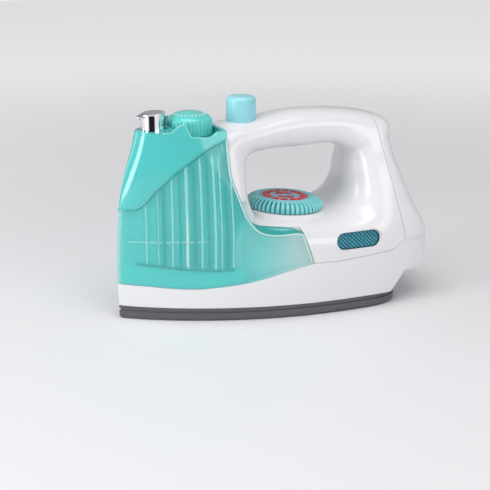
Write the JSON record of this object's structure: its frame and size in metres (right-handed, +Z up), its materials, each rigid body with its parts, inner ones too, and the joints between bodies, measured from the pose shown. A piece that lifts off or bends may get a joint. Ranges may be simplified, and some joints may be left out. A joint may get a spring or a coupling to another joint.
{
  "type": "toy iron",
  "caption": "Toy steam iron with a loop handle, a lift-off clear water tank, a spray button, a filler cap, a turning dial, a steam button and lamp windows.",
  "frame": {"origin": "centre of the sole's underside, under the middle of the iron's overall length and width", "axes": "+Z up out of the sole towards the handle, +X from the nose to the heel, +Y towards the iron's left-hand side as it is pushed nose first from behind"},
  "size_m": [0.205, 0.088, 0.1345],
  "materials": {
    "white_shell": "gloss",
    "sole_grey": "fine satin",
    "lamp_window": "clear, diamond texture",
    "led_clear": "clear",
    "board_green": "solder mask",
    "speaker_black": "matte cone in a metal basket",
    "inner_plastic": "satin",
    "cell_sleeve": "printed sleeve, bare of text",
    "spring_steel": "bright",
    "screw_steel": "zinc plated",
    "button_blue": "clear gloss",
    "dial_teal": "satin gloss",
    "label_blue": "printed film",
    "tank_clear": "clear tinted gloss",
    "tank_hood": "tinted gloss",
    "nozzle_chrome": "bright chrome plating on plastic",
    "cap_teal": "tinted gloss",
    "seal_rubber": "matte"
  },
  "bodies": {
    "housing": {"soleplate": "sole_grey", "base_skirt": "white_shell", "left_shell": "white_shell", "right_shell": "white_shell", "rear_cover": "white_shell", "lamp_window_left": "lamp_window", "lamp_window_right": "lamp_window", "lamp_leds": "led_clear", "circuit_board": "board_green", "speaker": "speaker_black", "battery_box": "inner_plastic", "battery_cells": "cell_sleeve", "battery_contacts": "spring_steel", "battery_door": "sole_grey", "base_screws": "screw_steel", "shell_screws": "screw_steel", "button_switch": "board_green", "button_spring": "spring_steel", "click_spring": "spring_steel"},
    "dial": {"dial_knob": "dial_teal", "dial_label": "label_blue", "click_wheel": "inner_plastic", "dial_screw": "screw_steel"},
    "steam_button": {"steam_button": "button_blue"},
    "tank": {"tank_body": "tank_clear", "tank_hood": "tank_hood", "tank_floor": "tank_clear", "pump_barrel": "inner_plastic", "pump_spring": "spring_steel", "dip_tube": "inner_plastic"},
    "spray_button": {"spray_nozzle": "nozzle_chrome", "pump_piston": "inner_plastic"},
    "cap": {"filler_cap": "cap_teal", "cap_seal": "seal_rubber"}
  },
  "joints": [
    {"name": "dial_turn", "type": "hinge", "parent": "housing", "child": "dial", "pos_m": [0.00933, 0, 0.061], "axis": [0.061, 0, 0.9981], "continuous": true},
    {"name": "steam_press", "type": "slide", "parent": "housing", "child": "steam_button", "axis": [0, 0, -1], "range_m": [0, 0.003], "stiffness_N_per_m": 300, "springref_m": -0.002, "deforming": ["button_spring"]},
    {"name": "tank_lift", "type": "slide", "parent": "housing", "child": "tank", "axis": [-0.454, 0, 0.891], "range_m": [0, 0.06]},
    {"name": "spray_press", "type": "slide", "parent": "tank", "child": "spray_button", "axis": [0, 0, -1], "range_m": [0, 0.0045], "stiffness_N_per_m": 300, "springref_m": -0.002, "deforming": ["pump_spring"]},
    {"name": "cap_lift", "type": "slide", "parent": "tank", "child": "cap", "axis": [0, 0, 1], "range_m": [0, 0.025]}
  ]
}
